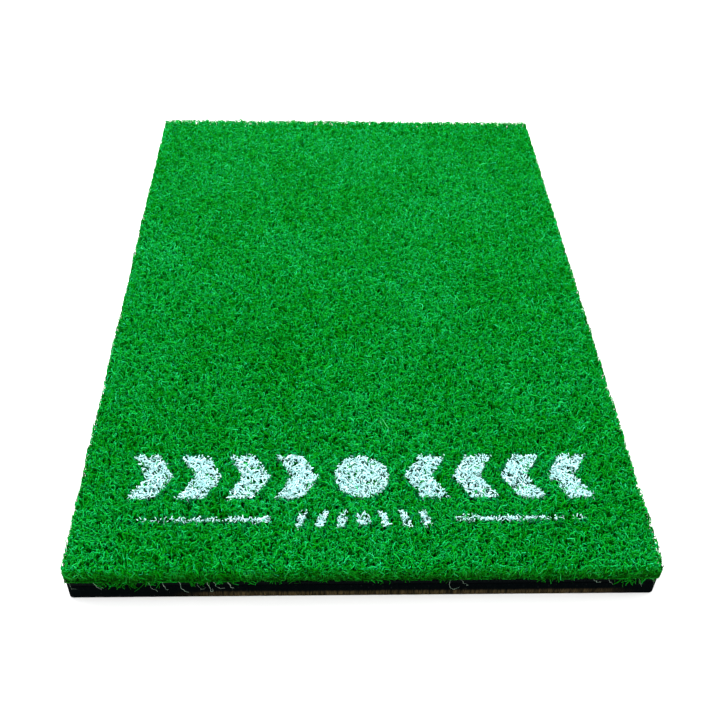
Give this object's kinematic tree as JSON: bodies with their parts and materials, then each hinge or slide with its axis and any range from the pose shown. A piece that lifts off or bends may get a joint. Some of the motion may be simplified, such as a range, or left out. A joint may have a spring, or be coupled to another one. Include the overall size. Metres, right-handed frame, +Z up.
{
  "type": "golf hitting mat",
  "caption": "Portable golf hitting mat: short curled green turf with white alignment marks, bonded to a black rubber foam base that lies flat on the floor.",
  "frame": {"origin": "centre of the underside, on the floor", "axes": "+Z up out of the turf, +Y along the mat away from the white marks (the marks are at the -Y end), +X across the mat to the right when looking along +Y"},
  "size_m": [0.3078, 0.4598, 0.026],
  "materials": {
    "foam": "matte closed-cell rubber foam, knife-cut edges",
    "adhesive": "dull hot-melt film",
    "latex": "satin black latex coating",
    "backing": "black woven polypropylene cloth",
    "yarn": "curled green nylon yarn, slight sheen",
    "yarn_back": "green yarn under the cloth, flattened in latex",
    "yarn_inked": "curled yarn with matte white ink on the tips"
  },
  "bodies": {
    "root": {"foam_base": "foam", "adhesive_film": "adhesive", "back_stitches": "yarn_back", "latex_coating": "latex", "primary_backing": "backing", "green_tufts": "yarn", "inked_tufts": "yarn_inked"}
  },
  "joints": []
}
